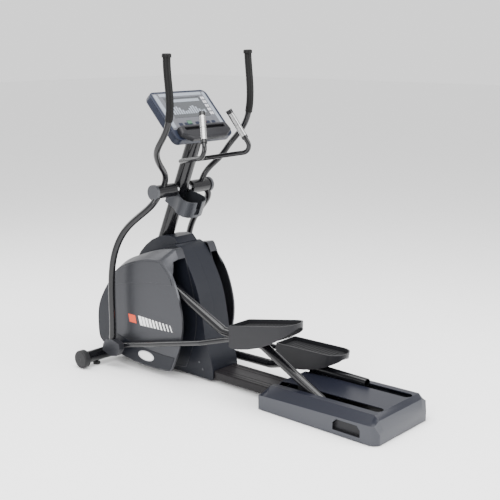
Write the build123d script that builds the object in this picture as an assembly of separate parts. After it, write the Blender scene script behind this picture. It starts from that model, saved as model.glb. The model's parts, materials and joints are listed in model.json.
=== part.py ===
from build123d import *
import math
import os

# Front-drive elliptical trainer, millimetres.
# +X runs from the nose to the step-on end, +Y to the user's right, +Z up.
# The origin is on the floor under the middle of the whole machine.
# Side -1 is the left half and side +1 the right half.

os.makedirs("parts", exist_ok=True)

# ---- driving dimensions ---------------------------------------------------------------------
REAR_X = 966.0
SKIN = 4.0
RUNNING = 0.05

STABILIZER = (-874.0, 52.0)
STABILIZER_R = 33.5
STABILIZER_HALF = 366.0
WHEEL_R = 50.0
WHEEL_INNER = 378.0
WHEEL_OUTER = 418.0

RAIL_HALF = 88.0
RAIL_BOTTOM = 18.0
RAIL_TOP = 64.0
RAIL_FRONT = -838.0
RAIL_REAR = 846.0

COLUMN_R = 40.0
COLUMN_AT_750 = -594.0
COLUMN_SLOPE = 0.4224
PIVOT = (-476.0, 1005.0)
SHAFT_R = 16.0
SLEEVE_R = 36.0
SLEEVE_INNER = 62.0
SLEEVE_OUTER = 196.0

CRANK = (-600.0, 333.0)
LEFT_PIN = (-592.0, 599.9)
AXLE_R = 15.0
PIN_R = 12.0
PULLEY_R = 190.0
FLYWHEEL = (-868.0, 250.0)
SMALL_PULLEY_R = 25.0
IDLER_R = 20.0
BELT_THICK = 3.0
BELT_GAP = 0.3

TRACK_TOP = 58.0
ROLLER = (488.0, 88.3)
ROLLER_R = 30.0
ROLLER_RIGHT_X = 586.8
ARM_R = 23.5
ARM_Y = -122.0
ARM_TURN = 26.41
PEDAL = (165.0, 303.3)
PEDAL_RIGHT = (201.9, 137.2)
LINK_TURN = -9.54
HANDLE_TURN = 3.0
ROD_PIN = (-770.0, 115.0)
ROD_R = 14.0

CENTRE_HALF = 97.0
SHOULDER_HALF = 150.0
PANEL_HALF = 207.0
FRONT_SPLIT = -800.0

SIDES = {"left": -1, "right": 1}


# ---- helpers --------------------------------------------------------------------------------
def slab(points, y_from, y_to):
    """A closed side outline of (x, z) points, filled from y_from to y_to."""
    low, high = sorted((y_from, y_to))
    face = make_face(Polyline(*points, close=True))
    return extrude(Plane.XZ.offset(-low) * face, amount=low - high)


def shrunk(points, distance):
    """The outline moved inwards by a distance; it keeps its number of corners."""
    area = sum(
        p[0] * q[1] - q[0] * p[1] for p, q in zip(points, points[1:] + points[:1])
    )
    turn = 1 if area > 0 else -1
    moved = []
    for index, (x, z) in enumerate(points):
        before = points[index - 1]
        after = points[(index + 1) % len(points)]
        length_in = math.hypot(x - before[0], z - before[1])
        length_out = math.hypot(after[0] - x, after[1] - z)
        n_in = ((before[1] - z) / length_in * turn, (x - before[0]) / length_in * turn)
        n_out = ((z - after[1]) / length_out * turn, (after[0] - x) / length_out * turn)
        scale = distance / (1 + n_in[0] * n_out[0] + n_in[1] * n_out[1])
        moved.append((x + (n_in[0] + n_out[0]) * scale, z + (n_in[1] + n_out[1]) * scale))
    return moved


def softened(points):
    """The outline with flowing curves in place of its corners; sharp corners keep a small radius."""
    soft = []
    for index, corner in enumerate(points):
        before = points[index - 1]
        after = points[(index + 1) % len(points)]
        length_in = math.dist(before, corner)
        length_out = math.dist(corner, after)
        dot = (corner[0] - before[0]) * (after[0] - corner[0])
        dot += (corner[1] - before[1]) * (after[1] - corner[1])
        gentle = dot > 0.8 * length_in * length_out
        reach = 500.0 if gentle else 16.0
        a = min(0.5, reach / length_in)
        b = min(0.5, reach / length_out)
        start = [corner[k] + (before[k] - corner[k]) * a for k in (0, 1)]
        end = [corner[k] + (after[k] - corner[k]) * b for k in (0, 1)]
        for t in (0.1, 0.3, 0.5, 0.7, 0.9):
            weights = ((1 - t) ** 2, 2 * t * (1 - t), t * t)
            soft.append(
                tuple(weights[0] * start[k] + weights[1] * corner[k] + weights[2] * end[k] for k in (0, 1))
            )
    return soft


def disc(centre, radius, y_from, y_to):
    """A round piece along Y through the (x, z) centre."""
    low, high = sorted((y_from, y_to))
    circle = Plane.XZ.offset(-low) * (Pos(centre[0], centre[1]) * Circle(radius))
    return extrude(circle, amount=low - high)


def ring(centre, outer, inner, y_from, y_to):
    return disc(centre, outer, y_from, y_to) - disc(centre, inner, y_from, y_to)


def block(x_from, x_to, y_from, y_to, z_from, z_to):
    middle = Pos((x_from + x_to) / 2, (y_from + y_to) / 2, (z_from + z_to) / 2)
    return middle * Box(abs(x_to - x_from), abs(y_to - y_from), abs(z_to - z_from))


def rod_along(path, radius):
    start = Plane(origin=path @ 0, z_dir=path % 0)
    return sweep(start * Circle(radius), path=path)


def bent(points, radius, bend):
    """A round bar along straight runs joined by arcs."""
    return rod_along(FilletPolyline(*points, radius=bend), radius)


def straight(start, end, radius):
    return rod_along(Line(start, end), radius)


def flipped(shape, side):
    """The left piece, or its mirror image on the right."""
    return shape if side < 0 else mirror(shape, about=Plane.XZ)


def placed(shape, side, centre, degrees, new_centre):
    """The left piece; the right one is mirrored, turned about a centre and moved with it."""
    if side < 0:
        return shape
    at_origin = Pos(-centre[0], 0, -centre[1]) * mirror(shape, about=Plane.XZ)
    return Pos(new_centre[0], 0, new_centre[1]) * (Rot(0, -degrees, 0) * at_origin)


def place_arm(shape, side):
    return placed(shape, side, ROLLER, ARM_TURN, (ROLLER_RIGHT_X, ROLLER[1]))


def place_link(shape, side):
    return placed(shape, side, PEDAL, LINK_TURN, PEDAL_RIGHT)


def place_handle(shape, side):
    return placed(shape, side, PIVOT, HANDLE_TURN, PIVOT)


def save(shape, name):
    export_step(shape, "parts/" + name + ".step")


def column_x(z):
    return COLUMN_AT_750 - COLUMN_SLOPE * (750 - z)


def column_core(radius):
    return straight((column_x(60), 0, 60), (column_x(1340), 0, 1340), radius)


# ---- base frame -----------------------------------------------------------------------------
def make_base():
    rail = block(RAIL_FRONT, RAIL_REAR, -RAIL_HALF, RAIL_HALF, RAIL_BOTTOM, RAIL_TOP)
    edges = rail.edges().filter_by(Axis.X)
    rail = fillet(edges, 7)
    inner = RAIL_HALF - SKIN
    rail -= block(RAIL_FRONT - 1, RAIL_REAR + 1, -inner, inner, RAIL_BOTTOM + SKIN, RAIL_TOP - SKIN)
    rail -= disc(STABILIZER, STABILIZER_R, -100, 100)
    save(rail, "main_rail")

    tube = disc(STABILIZER, STABILIZER_R, -STABILIZER_HALF, STABILIZER_HALF)
    tube -= disc(STABILIZER, STABILIZER_R - 3, -STABILIZER_HALF + 6, STABILIZER_HALF - 6)
    tube += disc(STABILIZER, 6, -STABILIZER_HALF, -WHEEL_OUTER + 1)
    tube += disc(STABILIZER, 6, STABILIZER_HALF, WHEEL_OUTER - 1)
    tube += disc(STABILIZER, 14, -STABILIZER_HALF, -WHEEL_INNER + 0.4)
    tube += disc(STABILIZER, 14, STABILIZER_HALF, WHEEL_INNER - 0.4)
    save(tube, "front_stabilizer")

    cross = block(RAIL_REAR, RAIL_REAR + 36, -205, 205, RAIL_BOTTOM, 54)
    cross -= block(RAIL_REAR + 3, RAIL_REAR + 33, -206, 206, RAIL_BOTTOM + 3, 51)
    save(cross, "rear_crossmember")

    feet = []
    for y in (-300, 300):
        foot = Pos(STABILIZER[0], y, 6) * Cylinder(20, 12)
        foot += Pos(STABILIZER[0], y, 17) * Cylinder(9, 10)
        feet.append(foot - disc(STABILIZER, STABILIZER_R, -400, 400))
    for y in (-180, 180):
        foot = Pos(RAIL_REAR + 18, y, 6) * Cylinder(17, 12)
        feet.append(foot + Pos(RAIL_REAR + 18, y, 15) * Cylinder(9, 6))
    save(Compound(children=feet), "levelling_feet")

    for name, side in SIDES.items():
        wheel = disc(STABILIZER, WHEEL_R, side * WHEEL_INNER, side * WHEEL_OUTER)
        wheel = fillet(wheel.edges().filter_by(GeomType.CIRCLE), 7)
        save(wheel - disc(STABILIZER, 6 + RUNNING, -430, 430), "wheel_" + name)

    tracks = []
    for side in SIDES.values():
        track = block(262, RAIL_REAR, side * 100, side * 144, 20, TRACK_TOP)
        tracks.append(track - block(261, RAIL_REAR + 1, side * 104, side * 140, 24, 54))
    save(Compound(children=tracks), "roller_tracks")


def make_column():
    outside = column_core(COLUMN_R)
    tube = outside - column_core(COLUMN_R - 3)
    tube -= block(-1000, -700, -60, 60, 0, RAIL_TOP)
    tube -= disc(STABILIZER, STABILIZER_R, -60, 60)
    tube -= on_face(0, 0, 300, 900, 900, 352)
    tube -= disc(PIVOT, SHAFT_R, -60, 60)
    tube -= fixed_bar(12.5)
    save(tube, "column")

    plates = []
    for side in SIDES.values():
        outline = [(-836, RAIL_TOP), (-700, RAIL_TOP), (-745, 185), (-788, 185), (-846, 100)]
        plate = slab(outline, side * 40, side * 46) - disc(STABILIZER, 34, -60, 60)
        plates.append(plate - disc(IDLER, 8, -60, 0))
    save(Compound(children=plates), "column_gussets")

    shaft = disc(PIVOT, SHAFT_R, -200, 200)
    for side in SIDES.values():
        shaft += disc(PIVOT, 22, side * 36, side * 61.6) - outside
    save(shaft, "pivot_shaft")


# ---- housing --------------------------------------------------------------------------------
SHOULDER = [
    (-382, 709), (-519, 685), (-642, 642), (-747, 602), (-822, 548), (-880, 470), (-938, 375),
    (-966, 287), (-966, 170), (-957, 115), (-918, 89), (-800, 89), (-783, 53), (-650, 34),
    (-496, 29), (-366, 41), (-352, 60), (-301, 183), (-290, 230), (-280, 285), (-278, 356),
    (-290, 445), (-322, 550), (-352, 650),
]
PANEL = [
    (-438, 647), (-547, 640), (-670, 604), (-745, 572), (-797, 538), (-855, 465), (-925, 369),
    (-958, 287), (-960, 170), (-950, 120), (-918, 93), (-800, 93), (-783, 56), (-650, 37),
    (-496, 32), (-370, 44), (-358, 62), (-301, 183), (-290, 230), (-280, 285), (-278, 356),
    (-297, 445), (-338, 550), (-400, 622),
]
CENTRE = [
    (-800, 572), (-747, 606), (-642, 650), (-519, 694), (-437, 718), (-395, 700), (-354, 641),
    (-294, 541), (-257, 450), (-235, 339), (-221, 255), (-206, 194), (-176, 130), (-161, 69),
    (-161, 12), (-500, 12), (-560, 24), (-783, 48), (-800, 70),
]
MOUTH = [
    (-402, 0), (-200, 0), (-200, 760), (-352, 660), (-376, 640), (-350, 545), (-335, 445),
    (-330, 230), (-376, 70),
]


def wide_body(gap, half):
    """The wide part of the housing, its sides drawn in towards the panel faces."""
    shoulder = shrunk(softened(SHOULDER), gap)
    panel = shrunk(softened(PANEL), gap)
    body = slab(shoulder, -half, half)
    for side in SIDES.values():
        inner = Plane.XZ.offset(-side * half) * make_face(Polyline(*shoulder, close=True))
        outer = Plane.XZ.offset(-side * (PANEL_HALF - gap)) * make_face(
            Polyline(*panel, close=True)
        )
        body += loft([inner, outer], ruled=True)
    return body


def make_housing():
    shell = wide_body(0, SHOULDER_HALF) - wide_body(SKIN, SHOULDER_HALF - 2)
    front = shell & block(-1000, FRONT_SPLIT - 0.2, -300, 300, 0, 800)
    front -= block(-925, -799, -50, 50, 80, 100)
    front -= block(-970, -940, -16.1, 16.1, 149.9, 176.1)
    save(front, "front_shell")

    column_hole = column_core(COLUMN_R + 1)
    for name, side in SIDES.items():
        panel = shell & block(FRONT_SPLIT, -100, side * (CENTRE_HALF + 0.3), side * 300, 0, 800)
        panel -= slab(MOUTH, side * 99.5, side * 196)
        panel -= block(-820, -100, side * 99.5, side * 200, 0, 60)
        save(panel, "side_panel_" + name)

        half = slab(softened(CENTRE), side * 0.2, side * CENTRE_HALF)
        half -= slab(shrunk(softened(CENTRE), SKIN), 0, side * (CENTRE_HALF - SKIN))
        half -= block(-900, -150, -RAIL_HALF - 0.4, RAIL_HALF + 0.4, 0, RAIL_TOP + 0.4)
        half -= block(-805, -778, 0, side * 93, 60, 560)
        half -= disc(CRANK, 30, -100, 100)
        half -= column_hole
        save(half, "housing_" + name)

    cap = slab(
        [
            (-764, 588), (-735, 632), (-690, 676), (-640, 712), (-580, 740), (-520, 750), (-466, 748),
            (-436, 719), (-440, 690),
        ],
        -72, 72,
    )
    cap -= slab(
        [
            (-740, 600), (-728, 626), (-686, 668), (-637, 704), (-578, 732), (-520, 742), (-470, 740),
            (-446, 716), (-446, 690),
        ],
        -66, 66,
    )
    cap -= slab(softened(CENTRE), -80, 80)
    save(cap - column_hole, "top_cap")

    screws = []
    for side in SIDES.values():
        for x, z in ((-262, 96), (-236, 60)):
            screws.append(disc((x, z), 6, side * (CENTRE_HALF + 0.1), side * (CENTRE_HALF + 2.5)))
    save(Compound(children=screws), "shroud_screws")


COVER = [
    (264, 222, 75, 184, 79), (312, 223, 78, 184, 127), (420, 224, 82, 185, 130),
    (928, 228, 96, 186, 137), (948, 219, 96, 178, 112), (REAR_X, 197, 52, 165, 62),
]


def cover_body(gap):
    """The rear cover from its cross sections: x, half width, side height, deck half, deck height."""
    faces = []
    for index, (x, half, side_z, deck, deck_z) in enumerate(COVER):
        shift = gap if index == 0 else (-gap if index == len(COVER) - 1 else 0)
        h, d = half - gap, deck - gap
        outline = [
            (h, 3 - 2 * gap), (h, side_z - gap * 0.6), (d, deck_z - gap), (-d, deck_z - gap),
            (-h, side_z - gap * 0.6), (-h, 3 - 2 * gap),
        ]
        plane = Plane(origin=(x + shift, 0, 0), x_dir=(0, 1, 0), z_dir=(1, 0, 0))
        faces.append(plane * make_face(Polyline(*outline, close=True)))
    return loft(faces, ruled=True)


def make_rear_cover():
    shell = cover_body(0) - cover_body(SKIN)
    for side in SIDES.values():
        shell -= block(240, 900, side * 95, side * 149, 66, 150)
        shell -= Pos(900, side * 122, 108) * Cylinder(27, 84)
        shell -= block(240, 280, side * 98, side * 146, 14, 90)
    shell -= block(240, 300, -RAIL_HALF - 1, RAIL_HALF + 1, 0, RAIL_TOP + 1)
    bowl = slab([(718, 21), (718, 62), (740, 84), (860, 84), (880, 62), (880, 21)], -227, -206)
    shell += (bowl + mirror(bowl, about=Plane.XZ)) & cover_body(0)
    recess = slab([(722, 25), (722, 60), (742, 80), (858, 80), (876, 60), (876, 25)], -240, -209)
    shell -= recess + mirror(recess, about=Plane.XZ)
    save(shell, "rear_cover")


# ---- console and fixed handlebar ------------------------------------------------------------
CONSOLE = (-392.0, 1407.5)
CONSOLE_WIDTH = 418.0
CONSOLE_LENGTH = 317.0
CONSOLE_NORMAL = (0.727, 0, 0.6866)
FACE = Plane(origin=(CONSOLE[0], 0, CONSOLE[1]), x_dir=(0, 1, 0), z_dir=CONSOLE_NORMAL)


def on_face(across, along, top, width, length, thick):
    """A box on the console face; its upper side is at the given height above the face."""
    return FACE * (Pos(across, along, top - thick / 2) * Box(width, length, thick))


def soft_face(top, width, length, thick, radius):
    sketch = Pos(0, 0, top - thick) * RectangleRounded(width, length, radius)
    return FACE * extrude(sketch, amount=thick)


def fixed_path():
    left = [(-219, -101, 1425), (-122, -182, 1216), (-396, -95, 1165)]
    return left + [(x, -y, z) for x, y, z in reversed(left)]


def fixed_bar(radius):
    return bent(fixed_path(), radius, 42)


def make_console():
    bar_piece = fixed_bar(12.5)
    sensors = []
    for side in SIDES.values():
        top = Vector(-219, side * 101, 1425)
        down = (Vector(-122, side * 182, 1216) - top).normalized()
        bar_piece += straight(top - down * 6, top + down * 14, 17.5)
        bar_piece += straight(top + down * 150, top + down * 166, 17)
        for start, end in ((16, 82), (84, 148)):
            piece = straight(top + down * start, top + down * end, 16.5)
            sensors.append(piece - straight(top, top + down * 190, 12.5))
    save(bar_piece, "fixed_handlebar")
    save(Compound(children=sensors), "hr_sensors")

    lean = Plane(origin=(column_x(962), 0, 962), x_dir=(0.9212, 0, -0.3891), z_dir=(0.3891, 0, 0.9212))
    half = [(-34, 52), (20, 56), (52, 60), (78, 76), (108, 82), (136, 74), (154, 50), (160, 18)]
    inner = [(-34, 46), (20, 50), (54, 54), (80, 70), (108, 76), (132, 69), (148, 47), (154, 18)]
    band = []
    for points in (half, inner):
        closed = points + [(x, -y) for x, y in reversed(points)]
        band.append(make_face(Polyline(*closed, close=True)))
    cup = lean * (Pos(0, 0, -46) * extrude(band[0], amount=92))
    cup -= lean * (Pos(0, 0, -38) * extrude(band[1], amount=100))
    cup -= lean * (Pos(150, 0, 20) * Box(40, 34, 100))
    cup += lean * (Pos(93, 0, -22) * Box(112, 6, 40))
    cup -= column_core(COLUMN_R) + disc(PIVOT, 22, -100, 100)
    cup = max(cup.solids(), key=lambda piece: piece.volume)
    save(cup, "bottle_holder")

    shell = soft_face(-8, CONSOLE_WIDTH, CONSOLE_LENGTH, 44, 34)
    shell = fillet(shell.faces().sort_by(Axis((0, 0, 0), CONSOLE_NORMAL))[0].edges(), 16)
    shell -= soft_face(-7, CONSOLE_WIDTH - 8, CONSOLE_LENGTH - 8, 38, 30)
    save(shell, "console_shell")
    face = soft_face(0, CONSOLE_WIDTH, CONSOLE_LENGTH, 8, 34)
    face -= on_face(0, 46, 1, 262, 132, 12)
    for across in (-52, 52):
        face -= on_face(across, -52, 1, 30.4, 20.4, 12)
    save(face, "console_face")
    save(on_face(0, 46, -0.6, 261, 131, 4), "display_lens")
    save(on_face(0, 30, -14, 260, 180, 2), "control_board")
    save(on_face(-52, -52, 2, 30, 20, 5), "start_key")
    save(on_face(52, -52, 2, 30, 20, 5), "stop_key")

    outline = [(-176, -92), (-150, -84), (150, -84), (176, -92), (184, -140), (120, -176), (-120, -176), (-184, -140)]
    ledge = FACE * extrude(make_face(Polyline(*outline, close=True)), amount=30)
    ledge = fillet(ledge.faces().sort_by(Axis((0, 0, 0), CONSOLE_NORMAL))[-1].edges(), 14)
    ledge -= FACE * (Pos(0, -112, 26) * Box(290, 18, 30))
    save(ledge, "console_tray")

    bracket = on_face(0, -60, -52, 110, 120, 26) - column_core(COLUMN_R)
    save(max(bracket.solids(), key=lambda piece: piece.volume), "console_bracket")

    inlet = block(-962, -948, -16, 16, 150, 176) - block(-970, -956, -12, 12, 154, 172)
    save(inlet, "power_inlet")


# ---- drive ----------------------------------------------------------------------------------
def crank_pin(side):
    if side < 0:
        return LEFT_PIN
    return (2 * CRANK[0] - LEFT_PIN[0], 2 * CRANK[1] - LEFT_PIN[1])


def lower_run():
    """The middle of the belt's lower run and its outward direction."""
    dx = FLYWHEEL[0] - CRANK[0]
    dz = FLYWHEEL[1] - CRANK[1]
    span = math.hypot(dx, dz)
    along = (dx / span, dz / span)
    share = (PULLEY_R - SMALL_PULLEY_R) / span
    rest = math.sqrt(1 - share * share)
    outward = (share * along[0] - rest * along[1], share * along[1] + rest * along[0])
    start = (CRANK[0] + PULLEY_R * outward[0], CRANK[1] + PULLEY_R * outward[1])
    end = (
        FLYWHEEL[0] + SMALL_PULLEY_R * outward[0],
        FLYWHEEL[1] + SMALL_PULLEY_R * outward[1],
    )
    return ((start[0] + end[0]) / 2, (start[1] + end[1]) / 2), outward


MIDDLE, OUTWARD = lower_run()
IDLER_REACH = IDLER_R + BELT_THICK + 2 * BELT_GAP
IDLER = (MIDDLE[0] + OUTWARD[0] * IDLER_REACH, MIDDLE[1] + OUTWARD[1] * IDLER_REACH)


def belt_loop(gap):
    big = Pos(*CRANK) * Circle(PULLEY_R + gap)
    small = Pos(*FLYWHEEL) * Circle(SMALL_PULLEY_R + gap)
    hull = make_hull(big.edges() + small.edges())
    return extrude(Plane.XZ.offset(64) * hull, amount=-14)


def make_drive():
    plates = []
    outline = [(-680, RAIL_TOP), (-520, RAIL_TOP), (-566, 350), (-582, 366), (-618, 366), (-634, 350)]
    for side in SIDES.values():
        plates.append(slab(outline, side * 70, side * 78) - disc(CRANK, 26, -90, 90))
        plates.append(ring(CRANK, 26, AXLE_R + RUNNING, side * 68, side * 80))
    save(Compound(children=plates), "bearing_frame")

    save(disc(CRANK, AXLE_R, -104, 104), "crank_axle")
    for name, side in SIDES.items():
        pin = crank_pin(side)
        web = make_hull((Pos(*CRANK) * Circle(30)).edges() + (Pos(*pin) * Circle(22)).edges())
        low, high = sorted((side * 104, side * 118))
        arm = extrude(Plane.XZ.offset(-low) * web, amount=low - high)
        arm += disc(pin, PIN_R, side * 118, side * 137)
        save(arm, "crank_arm_" + name)
    blocks = [ring(crank_pin(side), 23, PIN_R, side * 120, side * 137) for side in SIDES.values()]
    save(Compound(children=blocks), "crank_pin_bearings")

    pulley = disc(CRANK, PULLEY_R, -66, -48) + disc(CRANK, 34, -48, -40)
    for turn in range(5):
        angle = math.radians(72 * turn)
        hole = (CRANK[0] + 112 * math.cos(angle), CRANK[1] + 112 * math.sin(angle))
        pulley -= disc(hole, 42, -70, -40)
    save(pulley - disc(CRANK, AXLE_R, -70, -30), "drive_pulley")

    wheel = disc(FLYWHEEL, 88, 44, 74) - ring(FLYWHEEL, 72, 24, 40, 52)
    wheel -= ring(FLYWHEEL, 72, 24, 66, 80)
    wheel += disc(FLYWHEEL, 8, -66, 44) + disc(FLYWHEEL, SMALL_PULLEY_R, -66, -48)
    save(wheel, "flywheel")

    pieces = []
    for side in SIDES.values():
        outline = [(-888, 232), (-888, 268), (-790, 300), (-790, 200)]
        plate = slab(outline, side * 24, side * 34) - column_core(COLUMN_R)
        plate -= disc(FLYWHEEL, 8 + RUNNING, -60, 60)
        pieces.append(max(plate.solids(), key=lambda piece: -piece.center().X))
    holder = slab([(-840, 150), (-840, 185), (IDLER[0] + 12, 185), (IDLER[0] + 12, 150)], -38, -28)
    holder -= column_core(COLUMN_R)
    holder = max(holder.solids(), key=lambda piece: piece.center().X)
    pieces.append(holder + disc(IDLER, 6, -66, -28))
    save(Compound(children=pieces), "flywheel_bracket")
    save(ring(IDLER, IDLER_R, 6 + RUNNING, -66, -48), "idler_pulley")
    save(belt_loop(BELT_GAP + BELT_THICK) - belt_loop(BELT_GAP), "drive_belt")


# ---- pedal arms, rods and pedals ------------------------------------------------------------
def arm_tube(radius):
    points = [(-480, -165, 555), (-22, -165, 334), (205, ARM_Y, 299), (590, ARM_Y, 98.5)]
    return bent(points, radius, 70)


def make_arms():
    outside = arm_tube(ARM_R)
    arm = outside - arm_tube(ARM_R - 3)
    arm += disc(PEDAL, 15, -160, -96)
    arm -= disc(PEDAL, 8 + RUNNING, -170, -90)
    for low, high in ((-104, -100), (-144, -140)):
        fork = slab([(458, 150), (520, 146), (508, 74), (470, 74)], low, high)
        arm += fork - outside
    arm -= disc(ROLLER, 8, -150, -90)
    space = disc(ROLLER, ROLLER_R + 3, -139.6, -104.4)
    arm -= space
    for name, side in SIDES.items():
        save(place_arm(arm, side), "pedal_arm_" + name)
        save(place_arm(disc(ROLLER, 8, -146, -98), side), "roller_axle_" + name)
        wheel = ring(ROLLER, ROLLER_R, 8 + RUNNING, -139, -105)
        save(place_arm(wheel, side), "roller_" + name)


PEDAL_SIDE = [
    (-92, -14), (-70, -20), (-30, -18), (40, -3), (110, 20), (180, 52), (240, 88), (285, 122),
    (300, 144), (300, 165), (-92, 93),
]


def pedal_plan(margin):
    """The tray seen from above, relative to the pedal pivot, with its rounded rear end."""
    x_from, x_to = -92 + margin, 300 - margin
    middle, half = -155, 80 - margin
    points = [(x_from, middle - half + 6), (x_from + 8, middle - half)]
    for step in range(13):
        angle = math.radians(-90 + 15 * step)
        points.append((x_to - 74 + 74 * math.cos(angle), middle + half * math.sin(angle)))
    points += [(x_from + 8, middle + half), (x_from, middle + half - 6)]
    return Polyline(*points, close=True)


def pedal_block(margin, outline):
    plan = Pos(0, 0, -120) * extrude(make_face(pedal_plan(margin)), amount=420)
    return plan & slab(outline, -400, 0)


def make_pedals():
    outer = pedal_block(0, PEDAL_SIDE)
    tray = pedal_block(7, [(-92, 68), (300, 140), (300, 240), (-92, 240)])
    under = pedal_block(5, [(-92, -80), (300, -80), (300, 135), (-92, 63)])
    pedal = outer - tray - under
    pedal -= block(-100, -80, -230, -80, -60, 56)
    pedal = Pos(PEDAL[0], 0, PEDAL[1]) * pedal

    mat = pedal_block(9, [(-92, 68.2), (300, 140.2), (300, 144), (-92, 72)])
    mat = Pos(PEDAL[0], 0, PEDAL[1]) * mat

    rod = bent(
        [(ROD_PIN[0], -240, ROD_PIN[1]), (-116, -240, 268), (40, -212, 312), (150, -212, 340)],
        ROD_R, 60,
    )
    rod += disc(ROD_PIN, 20, -254, -226)
    rod -= disc(ROD_PIN, 8, -260, -220)
    bracket = Pos(PEDAL[0], 0, PEDAL[1]) * pedal_bracket()
    for name, side in SIDES.items():
        save(place_link(rod + bracket, side), "rod_" + name)
        save(place_link(pedal, side), "pedal_" + name)
        save(place_link(mat, side), "pedal_mat_" + name)


def pedal_bracket():
    """The steel saddle under the tray with its pivot pin, relative to the pivot."""
    saddle = slab([(-50, 70.6), (50, 89), (50, 83), (-50, 64.6)], -200, -86)
    cheek = [(-50, 66), (50, 84), (18, -14), (-18, -14)]
    for low, high in ((-92, -86), (-200, -194)):
        saddle += slab(cheek, low, high)
    return saddle + disc((0, 0), 8, -200, -86)


# ---- moving handles -------------------------------------------------------------------------
def make_handles():
    upper = Spline(
        (-476, -150, 1005), (-422, -177, 1110), (-393, -238, 1165), (-372, -276, 1217),
        (-307, -303, 1294), (-256, -308, 1370), (-234, -311, 1466), (-236, -316, 1576),
        (-243, -318, 1705),
    )
    lower = Spline(
        (-476, -165, 1005), (-474, -200, 959), (-540, -228, 889), (-638, -251, 804),
        (-694, -264, 725), (-732, -275, 619), (-749, -275, 534), (-756, -275, 417),
        (-762, -275, 160),
    )
    upper_tube = rod_along(upper, 16)
    tube = upper_tube + rod_along(lower, 18)
    tube += disc(PIVOT, SLEEVE_R, -SLEEVE_OUTER, -SLEEVE_INNER)
    tube -= disc(PIVOT, SHAFT_R + RUNNING, -220, 0)

    grip_path = upper.trim(0.62, 1.0)
    grip = rod_along(grip_path, 19.5) - upper_tube
    end = upper @ 1
    knob = Pos(end.X - 0.5, end.Y, end.Z + 10) * Cylinder(24, 20)
    knob = fillet(knob.edges().group_by(Axis.Z)[-1], 8)
    grip += knob - upper_tube

    cap = disc(PIVOT, 41, -212, -196.3) - disc(PIVOT, 36, -203, -190)
    cap -= disc(PIVOT, SHAFT_R + 0.4, -201, -190) + rod_along(lower, 18)

    outline = [
        (-828, 88), (-822, 128), (-796, 158), (-742, 166), (-690, 150), (-683, 118), (-712, 78),
        (-765, 68),
    ]
    cover = slab(outline, -293, -257)
    cover -= rod_along(lower, 18)
    for name, side in SIDES.items():
        save(place_handle(tube, side), "handlebar_" + name)
        save(place_handle(grip, side), "grip_" + name)
        save(place_handle(cap, side), "hub_cap_" + name)
        save(place_handle(cover, side), "lower_cover_" + name)


make_base()
make_column()
make_housing()
make_rear_cover()
make_console()
make_drive()
make_arms()
make_pedals()
make_handles()
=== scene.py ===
import json
import math

import bpy
from mathutils import Matrix, Vector


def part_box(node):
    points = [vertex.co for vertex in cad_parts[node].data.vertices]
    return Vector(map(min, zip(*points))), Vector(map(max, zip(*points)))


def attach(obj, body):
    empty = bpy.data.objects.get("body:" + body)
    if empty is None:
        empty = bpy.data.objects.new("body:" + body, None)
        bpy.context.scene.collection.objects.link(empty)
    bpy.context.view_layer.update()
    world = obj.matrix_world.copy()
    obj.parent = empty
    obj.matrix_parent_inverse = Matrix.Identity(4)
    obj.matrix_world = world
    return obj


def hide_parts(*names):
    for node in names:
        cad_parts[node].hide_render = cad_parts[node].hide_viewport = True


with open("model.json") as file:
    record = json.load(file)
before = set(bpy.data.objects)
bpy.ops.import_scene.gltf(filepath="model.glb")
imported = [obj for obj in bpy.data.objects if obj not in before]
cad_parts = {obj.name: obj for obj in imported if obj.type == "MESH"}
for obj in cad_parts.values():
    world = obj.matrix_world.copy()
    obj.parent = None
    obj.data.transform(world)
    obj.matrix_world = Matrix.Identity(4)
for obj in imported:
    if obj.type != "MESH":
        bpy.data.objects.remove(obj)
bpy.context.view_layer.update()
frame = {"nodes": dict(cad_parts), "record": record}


# ---- materials ------------------------------------------------------------------------------
COAT_ROUGHNESS = 0.12
GRAIN_DETAIL = 3.0
GRAIN_DEPTH = 0.0004


def material(
    name, color, rough, metal=0.0, coat=0.0, grain=0.0, scale=900.0, mottled=0.0, shine=0.5
):
    """A procedural material; grain is a fine bump and mottled a slight change of roughness."""
    mat = bpy.data.materials.new(name)
    mat.use_nodes = True
    nodes = mat.node_tree.nodes
    links = mat.node_tree.links
    shader = nodes["Principled BSDF"]
    shader.inputs["Base Color"].default_value = (*color, 1.0)
    shader.inputs["Roughness"].default_value = rough
    shader.inputs["Metallic"].default_value = metal
    shader.inputs["Coat Weight"].default_value = coat
    shader.inputs["Specular IOR Level"].default_value = shine
    shader.inputs["Coat Roughness"].default_value = COAT_ROUGHNESS
    if grain or mottled:
        place = nodes.new("ShaderNodeTexCoord")
        noise = nodes.new("ShaderNodeTexNoise")
        noise.inputs["Scale"].default_value = scale
        noise.inputs["Detail"].default_value = GRAIN_DETAIL
        links.new(place.outputs["Object"], noise.inputs["Vector"])
    if grain:
        bump = nodes.new("ShaderNodeBump")
        bump.inputs["Strength"].default_value = grain
        bump.inputs["Distance"].default_value = GRAIN_DEPTH
        links.new(noise.outputs["Fac"], bump.inputs["Height"])
        links.new(bump.outputs["Normal"], shader.inputs["Normal"])
    if mottled:
        spread = nodes.new("ShaderNodeMapRange")
        spread.inputs["To Min"].default_value = rough - mottled
        spread.inputs["To Max"].default_value = rough + mottled
        links.new(noise.outputs["Fac"], spread.inputs["Value"])
        links.new(spread.outputs["Result"], shader.inputs["Roughness"])
    return mat


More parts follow.
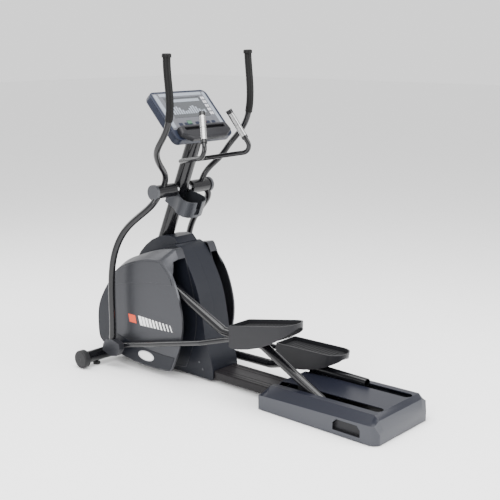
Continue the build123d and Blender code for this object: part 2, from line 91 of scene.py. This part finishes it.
TUBE = material("tube_black", (0.004, 0.004, 0.005), 0.18, coat=0.08, shine=0.34)
SHROUD = material("shroud_charcoal", (0.007, 0.008, 0.012), 0.36, grain=0.2, shine=0.2)
PANEL = material("panel_grey", (0.030, 0.031, 0.036), 0.34, metal=0.5, mottled=0.03, scale=300.0)
DECK = material("deck_charcoal", (0.008, 0.009, 0.015), 0.34, grain=0.2, shine=0.2)
COVER_SIDE = material("cover_side", (0.020, 0.022, 0.030), 0.4, grain=0.15)
RUBBER = material("rubber", (0.012, 0.012, 0.012), 0.7, grain=0.4)
FOAM = material("foam", (0.003, 0.003, 0.003), 0.5, grain=0.4, scale=1500.0, shine=0.16)
WHEEL = material("wheel", (0.014, 0.014, 0.015), 0.5, grain=0.2, shine=0.2)
TRACK = material("track", (0.35, 0.36, 0.38), 0.35, metal=1.0)
STEEL = material("steel", (0.42, 0.42, 0.43), 0.3, metal=1.0)
SENSOR = material("sensor", (0.36, 0.36, 0.36), 0.26, metal=1.0)
CAST = material("cast", (0.09, 0.09, 0.1), 0.5, metal=0.7, grain=0.3)
PEDAL = material("pedal", (0.013, 0.013, 0.015), 0.42, grain=0.4, scale=700.0, shine=0.2)
MAT = material("pedal_mat", (0.008, 0.008, 0.009), 0.6, grain=0.6, shine=0.2)
# Black plastic; the same material also serves as painted shade in the rear cover's hand recesses.
BLACK_AND_SHADE = material("black_plastic_and_shade", (0.012, 0.012, 0.014), 0.4, grain=0.3, shine=0.2)
NAVY = material("console_navy", (0.010, 0.013, 0.024), 0.36, grain=0.2, shine=0.2)
SILVER = material("silver_overlay", (0.085, 0.088, 0.100), 0.36, metal=0.35)
PALE = material("pale_overlay", (0.17, 0.19, 0.22), 0.4, metal=0.1)
LENS = material("lens", (0.030, 0.033, 0.037), 0.08, coat=0.5)
BOARD = material("board", (0.012, 0.06, 0.025), 0.5)
BADGE = material("badge", (0.60, 0.60, 0.62), 0.3, metal=0.6)
WHITE = material("decal_white", (0.80, 0.80, 0.80), 0.5)
ORANGE = material("decal_orange", (0.60, 0.055, 0.012), 0.5)
GREEN = material("key_green", (0.03, 0.09, 0.05), 0.45)
RED = material("key_red", (0.16, 0.02, 0.02), 0.45)
CUP = material("gunmetal", (0.032, 0.034, 0.040), 0.32, metal=0.5, mottled=0.03)
SATIN = material("satin_cap", (0.055, 0.057, 0.063), 0.34, metal=0.5)
RAIL = material("rail_dark", (0.009, 0.008, 0.009), 0.36, grain=0.2, shine=0.2)

NODE_LOOKS = {
    "main_rail": RAIL, "front_stabilizer": TUBE, "rear_crossmember": TUBE, "column": TUBE,
    "column_gussets": TUBE, "fixed_handlebar": TUBE, "console_bracket": TUBE,
    "bearing_frame": TUBE, "flywheel_bracket": TUBE, "levelling_feet": RUBBER,
    "drive_belt": RUBBER, "idler_pulley": BLACK_AND_SHADE, "roller_tracks": TRACK, "pivot_shaft": STEEL,
    "crank_axle": STEEL, "crank_pin_bearings": STEEL, "shroud_screws": SATIN,
    "front_shell": SHROUD, "top_cap": SHROUD, "rear_cover": DECK, "hr_sensors": SENSOR,
    "bottle_holder": CUP, "console_shell": NAVY, "console_face": NAVY, "display_lens": LENS,
    "console_tray": BLACK_AND_SHADE, "control_board": BOARD, "power_inlet": BLACK_AND_SHADE, "drive_pulley": CAST,
    "flywheel": CAST, "start_key": GREEN, "stop_key": RED,
}
SIDED_LOOKS = {
    "housing": SHROUD, "side_panel": PANEL, "handlebar": TUBE, "grip": FOAM, "hub_cap": SATIN,
    "lower_cover": PANEL, "pedal_arm": TUBE, "rod": TUBE, "pedal": PEDAL, "pedal_mat": MAT,
    "roller": RUBBER, "roller_axle": STEEL, "crank_arm": CAST, "wheel": WHEEL,
}
for stem, look in SIDED_LOOKS.items():
    for side in ("left", "right"):
        NODE_LOOKS[stem + "_" + side] = look

BEVELS = {
    "rear_cover": 0.006, "console_shell": 0.006, "console_face": 0.003,
    "console_tray": 0.006, "bottle_holder": 0.004, "top_cap": 0.008, "start_key": 0.0015,
    "stop_key": 0.0015, "hub_cap_left": 0.003, "hub_cap_right": 0.003, "lower_cover_left": 0.008,
    "lower_cover_right": 0.008, "pedal_left": 0.0025, "pedal_right": 0.0025,
}


# Where the rear cover's outer faces and its hand recesses lie, in metres; the recesses are painted
# black as painted shade.
COVER_SIDE_Y = 0.196
COVER_REAR_X = 0.945
RECESS_X = (0.721, 0.877)
RECESS_Y = (0.2065, 0.222)
RECESS_Z = (0.024, 0.081)


def paint_cover(copy):
    """Paler side and rear faces, and black hand recesses as painted shade."""
    copy.data.materials.append(COVER_SIDE)
    copy.data.materials.append(BLACK_AND_SHADE)
    for polygon in copy.data.polygons:
        centre, normal = polygon.center, polygon.normal
        outside = abs(centre.y) > COVER_SIDE_Y or centre.x > COVER_REAR_X
        recess_painted_shade = RECESS_X[0] < centre.x < RECESS_X[1] and RECESS_Z[0] < centre.z < RECESS_Z[1]
        # Faces inside the hand recesses get black plastic as painted shade.
        if recess_painted_shade and RECESS_Y[0] < abs(centre.y) < RECESS_Y[1]:
            polygon.material_index = 2
        elif outside and abs(normal.z) < 0.5:
            polygon.material_index = 1


SMOOTH_ANGLE = math.radians(28)
FLAT_ANGLE = math.radians(0.6)
WELD = 0.00002


def smooth_copy(node):
    """A copy of a CAD piece with smooth curved faces and softened sharp edges."""
    source = frame["nodes"][node]
    copy = source.copy()
    copy.data = source.data.copy()
    copy.name = "look_" + node
    copy.parent = None
    copy.matrix_world = source.matrix_world.copy()
    bpy.context.scene.collection.objects.link(copy)
    copy.data.materials.clear()
    copy.data.materials.append(NODE_LOOKS[node])
    bpy.context.view_layer.objects.active = copy
    for other in bpy.context.selected_objects:
        other.select_set(False)
    copy.select_set(True)
    bpy.ops.object.mode_set(mode="EDIT")
    bpy.ops.mesh.select_all(action="SELECT")
    bpy.ops.mesh.remove_doubles(threshold=WELD)
    bpy.ops.mesh.dissolve_limited(angle_limit=FLAT_ANGLE)
    bpy.ops.object.mode_set(mode="OBJECT")
    if "custom_normal" in copy.data.attributes:
        copy.data.attributes.remove(copy.data.attributes["custom_normal"])
    bpy.ops.object.shade_smooth_by_angle(angle=SMOOTH_ANGLE)
    if node == "rear_cover":
        paint_cover(copy)
    width = BEVELS.get(node, 0.0)
    if width:
        bevel = copy.modifiers.new("soft_edges", "BEVEL")
        bevel.width = width
        bevel.segments = 3
        bevel.limit_method = "ANGLE"
        bevel.angle_limit = SMOOTH_ANGLE
        bevel.use_clamp_overlap = True
        bevel.harden_normals = True
    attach(copy, BODY_OF[node])
    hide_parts(node)


BODY_OF = {
    node: body for body, nodes in frame["record"]["behaviour"]["bodies"].items() for node in nodes
}
for node in NODE_LOOKS:
    smooth_copy(node)


# ---- small shapes built here ----------------------------------------------------------------
def piece(name, verts, faces, look, body, bevel=0.0):
    """A mesh object on a body, with its edges softened by bevel."""
    mesh = bpy.data.meshes.new(name)
    mesh.from_pydata([tuple(v) for v in verts], [], faces)
    mesh.update()
    mesh.materials.append(look)
    obj = bpy.data.objects.new(name, mesh)
    bpy.context.scene.collection.objects.link(obj)
    if bevel:
        soft = obj.modifiers.new("soft_edges", "BEVEL")
        soft.width = bevel
        soft.segments = 2
        soft.limit_method = "ANGLE"
    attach(obj, body)
    return obj


SUNK = 0.0006


def prism(name, outline, origin, across, up, depth, look, body, bevel=0.0):
    """A flat outline (a, b) in metres raised by depth along the normal across x up."""
    origin, across, up = Vector(origin), Vector(across).normalized(), Vector(up).normalized()
    normal = across.cross(up)
    count = len(outline)
    low = [origin + across * a + up * b - normal * SUNK for a, b in outline]
    high = [origin + across * a + up * b + normal * depth for a, b in outline]
    faces = [tuple(reversed(range(count))), tuple(range(count, 2 * count))]
    faces += [(i, (i + 1) % count, count + (i + 1) % count, count + i) for i in range(count)]
    return piece(name, low + high, faces, look, body, bevel=bevel)


def oval(a, b, steps=48):
    return [
        (a * math.cos(2 * math.pi * i / steps), b * math.sin(2 * math.pi * i / steps))
        for i in range(steps)
    ]


def rectangle(a0, a1, b0, b1, corner=0.0):
    if not corner:
        return [(a0, b0), (a1, b0), (a1, b1), (a0, b1)]
    points = []
    for ca, cb, start in (
        (a1 - corner, b0 + corner, -90), (a1 - corner, b1 - corner, 0),
        (a0 + corner, b1 - corner, 90), (a0 + corner, b0 + corner, 180),
    ):
        for step in range(5):
            angle = math.radians(start + 22.5 * step)
            points.append((ca + corner * math.cos(angle), cb + corner * math.sin(angle)))
    return points


# Each side panel has a raised upper field and a raised skirt, a generic mark of slanted bars that
# narrow towards the rear, and a plain oval badge. Outlines are (x, z) in metres.
PANEL_FACE = 0.207
UPPER_FIELD = [
    (-0.796, 0.455), (-0.720, 0.476), (-0.644, 0.490), (-0.531, 0.512), (-0.440, 0.521),
    (-0.349, 0.523), (-0.362, 0.556), (-0.408, 0.608), (-0.440, 0.634), (-0.490, 0.634),
    (-0.547, 0.628), (-0.606, 0.613), (-0.668, 0.593), (-0.742, 0.562), (-0.790, 0.530),
]
SKIRT = [
    (-0.782, 0.063), (-0.715, 0.050), (-0.650, 0.044), (-0.570, 0.040), (-0.496, 0.039),
    (-0.378, 0.050), (-0.366, 0.066), (-0.338, 0.128), (-0.420, 0.126), (-0.520, 0.130),
    (-0.640, 0.142), (-0.720, 0.154), (-0.797, 0.172), (-0.797, 0.097),
]


def on_panel(name, side, outline, look, height, bevel=0.0, lift=0.0):
    """A flat shape on the side panel of one side, given as (x, z) in metres."""
    sign = -1 if side == "left" else 1
    across = (-sign, 0.0, 0.0)
    flat = [(-sign * x, z) for x, z in outline]
    area = sum(p[0] * q[1] - q[0] * p[1] for p, q in zip(flat, flat[1:] + flat[:1]))
    if area < 0:
        flat.reverse()
    return prism(
        f"{name}_{side}", flat, (0.0, sign * (PANEL_FACE + lift), 0.0), across, (0.0, 0.0, 1.0),
        height, look, "frame", bevel=bevel,
    )


RAISED = 0.0022
RAISED_EDGE = 0.0016
PRINT = 0.0004
BAR_LEAN = 0.008
BAR_MIDDLE = 0.284
BADGE_RIM = 0.0015
BADGE_X = -0.560
BADGE_Z = 0.092

for side in ("left", "right"):
    on_panel("upper_field", side, UPPER_FIELD, PANEL, RAISED, bevel=RAISED_EDGE)
    on_panel("skirt", side, SKIRT, SHROUD, RAISED, bevel=RAISED_EDGE)
    for index in range(10):
        start = -0.612 + index * 0.0272
        end = start + (0.0225 - index * 0.0017)
        half = 0.0255 - index * 0.0009
        bar = [
            (start - BAR_LEAN, BAR_MIDDLE + half), (start + BAR_LEAN, BAR_MIDDLE - half),
            (end + BAR_LEAN, BAR_MIDDLE - half), (end - BAR_LEAN, BAR_MIDDLE + half),
        ]
        on_panel(f"bar_{index}", side, bar, WHITE, PRINT)
    block = [(-0.700, 0.306), (-0.690, 0.262), (-0.634, 0.262), (-0.644, 0.306)]
    on_panel("colour_block", side, block, ORANGE, PRINT)
    badge = [(BADGE_X + x, BADGE_Z + z) for x, z in oval(0.062, 0.027)]
    on_panel("badge", side, badge, BADGE, BADGE_RIM, lift=RAISED)
    badge = [(BADGE_X + x, BADGE_Z + z) for x, z in oval(0.054, 0.0215)]
    on_panel("badge_inner", side, badge, WHITE, PRINT, lift=RAISED + BADGE_RIM)

# The console face: printed areas, keys and a paler strip down each side.
FACE_ORIGIN = Vector((-0.3920, 0.0, 1.4075))
FACE_NORMAL = Vector((0.727, 0.0, 0.6866)).normalized()
FACE_ACROSS = Vector((0.0, 1.0, 0.0))
FACE_UP = FACE_NORMAL.cross(FACE_ACROSS)


def on_console(
    name, a0, a1, b0, b1, look, corner=0.003, height=0.0007, lift=0.0
):
    """A rounded rectangle on the console face, across and up in metres."""
    return prism(
        name, rectangle(a0, a1, b0, b1, corner), FACE_ORIGIN + FACE_NORMAL * lift, FACE_ACROSS,
        FACE_UP, height, look, "frame",
    )


# The overlay is four strips round the display window, level with one another.
for name, a0, a1, b0, b1 in (
    ("overlay_left", -0.192, -0.132, -0.092, 0.146), ("overlay_right", 0.132, 0.192, -0.092, 0.146),
    ("overlay_top", -0.134, 0.134, 0.113, 0.146), ("overlay_bottom", -0.134, 0.134, -0.040, -0.021),
):
    on_console(name, a0, a1, b0, b1, SILVER, 0.0, height=0.0003)
on_console("overlay_low_left", -0.134, -0.069, -0.092, -0.040, SILVER, 0.0, height=0.0003)
on_console("overlay_low_middle", -0.035, 0.035, -0.092, -0.040, SILVER, 0.0, height=0.0003)
on_console("overlay_low_right", 0.069, 0.134, -0.092, -0.040, SILVER, 0.0, height=0.0003)
on_console("strip_left", -0.188, -0.162, -0.080, 0.140, PALE, 0.008)
on_console("strip_right", 0.168, 0.188, -0.080, 0.140, PALE, 0.008)
on_console("band_top", -0.150, 0.160, 0.124, 0.142, PALE, 0.004)
KEY_HALF_WIDTH = 0.0055
KEY_HALF_HEIGHT = 0.009
for row in range(5):
    for column in range(2):
        a = 0.143 + column * 0.014
        b = 0.100 - row * 0.026
        on_console(
            f"key_{row}_{column}", a - KEY_HALF_WIDTH, a + KEY_HALF_WIDTH, b - KEY_HALF_HEIGHT,
            b + KEY_HALF_HEIGHT, BADGE, 0.003,
        )
# The pads leave room for the start and stop keys.
for index in range(7):
    a = -0.120 + index * 0.040
    if abs(abs(a) - 0.052) > 0.024:
        on_console(f"pad_{index}", a - 0.014, a + 0.014, -0.070, -0.052, NAVY, 0.004)
for index in range(14):
    a = -0.112 + index * 0.0172
    height = 0.018 + 0.034 * (0.5 + 0.5 * math.sin(index * 0.9))
    on_console(
        f"display_bar_{index}", a - 0.006, a + 0.006, 0.004, 0.004 + height, PALE, 0.0,
        height=0.0002, lift=-0.0006,
    )
on_console(
    "display_line", -0.118, 0.118, 0.084, 0.102, PALE, 0.002, height=0.0002,
    lift=-0.0006,
)

# Low ribs along the rail and across the pedal mats.
for y in (-0.062, -0.036, 0.036, 0.062):
    prism(
        f"rail_rib_{int(y * 1000) + 100}", rectangle(-0.159, 0.262, -0.004, 0.004), (0.0, y, 0.064),
        (1.0, 0.0, 0.0), (0.0, 1.0, 0.0), 0.0012, RAIL, "frame",
    )


MAT_THICK = 0.004
FAR_PEDAL_SLOPE = math.radians(10.41 - 9.54)
RIB_MARGIN = 0.014
RIB_PITCH = 0.0215


def mat_ribs(side):
    """Low ribs across a pedal mat, on the slope of its top."""
    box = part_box("pedal_mat_" + side)
    low, high = Vector(box[0]), Vector(box[1])
    rise = (high.z - low.z - MAT_THICK) / (high.x - low.x)
    if side == "right":
        rise = math.tan(FAR_PEDAL_SLOPE)
    along = Vector((1.0, 0.0, rise)).normalized()
    normal = Vector((-along.z, 0.0, along.x))
    start = Vector((low.x, (low.y + high.y) / 2, low.z + MAT_THICK))
    width = (high.y - low.y) / 2 - RIB_MARGIN
    for index in range(14):
        centre = start + along * (0.030 + index * RIB_PITCH)
        half = width
        if index > 10:
            half = width * (1.0 - 0.10 * (index - 10))
        prism(
            f"rib_{side}_{index}", rectangle(-0.0035, 0.0035, -half, half),
            centre + normal * 0.0002, along, (0.0, 1.0, 0.0), 0.0014, MAT,
            side + "_pedal_link",
        )


mat_ribs("left")
mat_ribs("right")


# ---- camera, light and floor ----------------------------------------------------------------
LENS_MM = 69.9
CAMERA_PLACE = (3.220, -3.648, 1.809)
camera_data = bpy.data.cameras.new("camera")
camera_data.sensor_width = 36.0
camera_data.lens = LENS_MM
camera = bpy.data.objects.new("camera", camera_data)
bpy.context.scene.collection.objects.link(camera)
AZIMUTH = math.radians(41.303)
ELEVATION = math.radians(12.462)
back = Vector(
    (
        math.sin(AZIMUTH) * math.cos(ELEVATION),
        -math.cos(AZIMUTH) * math.cos(ELEVATION),
        math.sin(ELEVATION),
    )
)
turned = back.to_track_quat("Z", "Y").to_matrix().to_4x4()
camera.matrix_world = Matrix.Translation(CAMERA_PLACE) @ turned
bpy.context.scene.camera = camera


def area_light(name, place, target, size, power):
    data = bpy.data.lights.new(name, "AREA")
    data.shape = "RECTANGLE"
    data.size = size[0]
    data.size_y = size[1]
    data.energy = power
    light = bpy.data.objects.new(name, data)
    bpy.context.scene.collection.objects.link(light)
    aim = Vector(place) - Vector(target)
    turn = aim.to_track_quat("Z", "Y").to_matrix().to_4x4()
    light.matrix_world = Matrix.Translation(place) @ turn


area_light("top", (0.3, -0.5, 4.2), (0.0, 0.0, 0.5), (4.5, 3.5), 380.0)
area_light("left", (1.2, -4.2, 2.4), (0.0, 0.0, 0.6), (2.2, 2.8), 150.0)
area_light("rear", (4.0, 1.6, 2.2), (0.0, 0.0, 0.6), (1.8, 2.8), 170.0)
area_light("front", (-4.0, -1.0, 2.6), (0.0, 0.0, 0.8), (1.8, 2.6), 70.0)

world = bpy.data.worlds.new("studio")
world.use_nodes = True
world.node_tree.nodes["Background"].inputs["Color"].default_value = (1.0, 1.0, 1.0, 1.0)
world.node_tree.nodes["Background"].inputs["Strength"].default_value = 1.35
bpy.context.scene.world = world

floor_look = material("floor", (0.93, 0.93, 0.93), 0.6)
bpy.ops.mesh.primitive_plane_add(size=60.0, location=(0.0, 0.0, -0.0005))
floor = bpy.context.object
floor.name = "floor"
floor.data.materials.append(floor_look)
